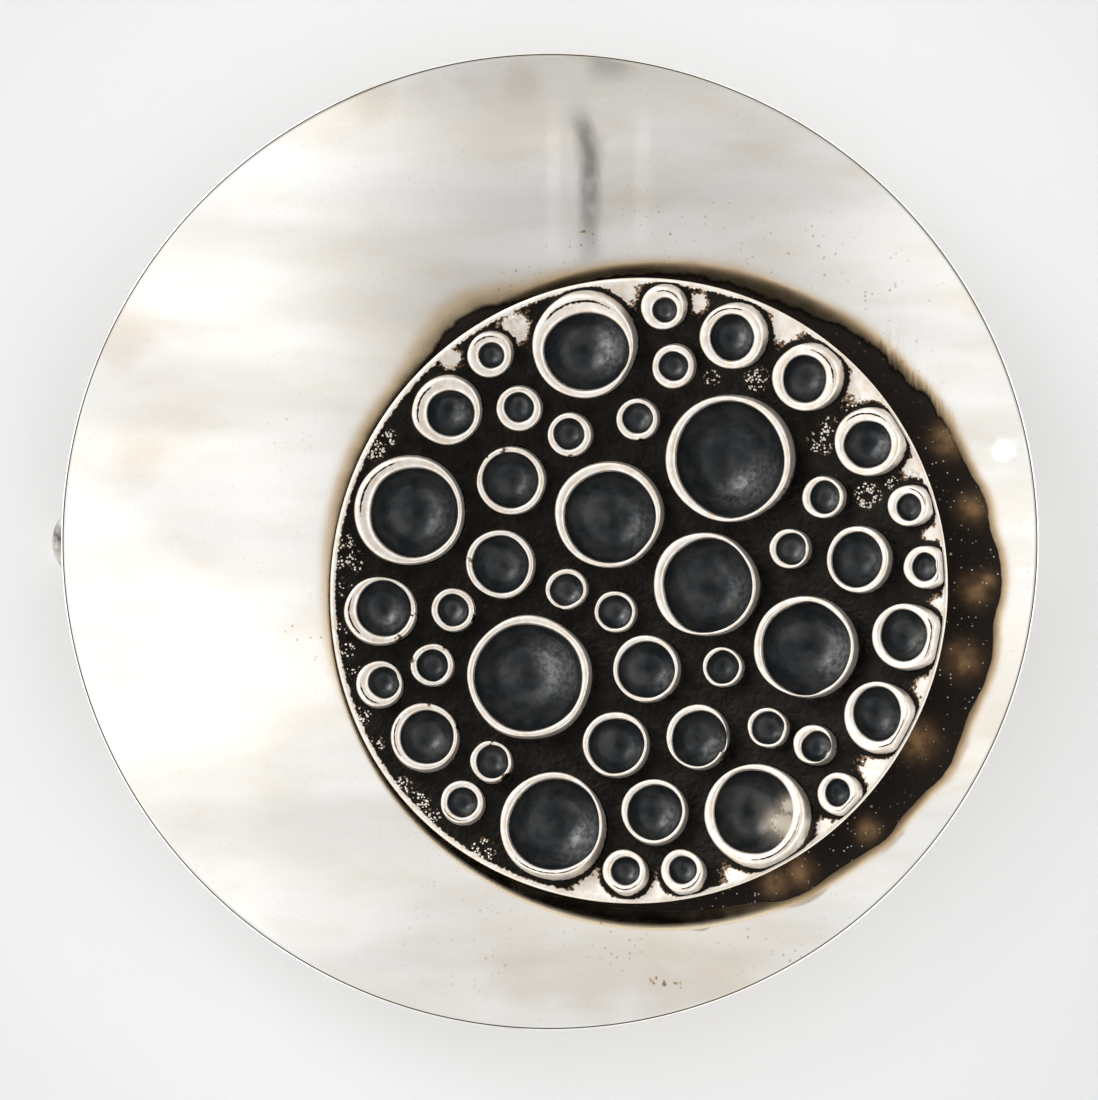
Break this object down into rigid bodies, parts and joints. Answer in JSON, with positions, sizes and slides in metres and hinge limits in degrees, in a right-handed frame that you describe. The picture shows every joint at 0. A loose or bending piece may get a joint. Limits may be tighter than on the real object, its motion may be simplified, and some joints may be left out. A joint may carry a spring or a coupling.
{
  "type": "brooch",
  "caption": "Round hollow silver dish brooch with an off-centre, tilted relief disc of raised round cups, and a pin fastening behind.",
  "frame": {"origin": "on the surface that the brooch rests on, under the middle of the whole brooch", "axes": "+Z out of the brooch's face, towards the viewer; +X to the picture's right, along the pin; +Y to the picture's top"},
  "size_m": [0.0554, 0.0548, 0.0143],
  "materials": {
    "polished_silver": "polished silver with fine scratches and faint tarnish",
    "oxidised_silver": "cast silver, blackened in the hollows and the ground, polished on the rims",
    "pin_wire": "drawn wire, satin"
  },
  "bodies": {
    "root": {"dish": "polished_silver", "cup_disc": "oxidised_silver", "brooch_pin": "pin_wire"}
  },
  "joints": []
}
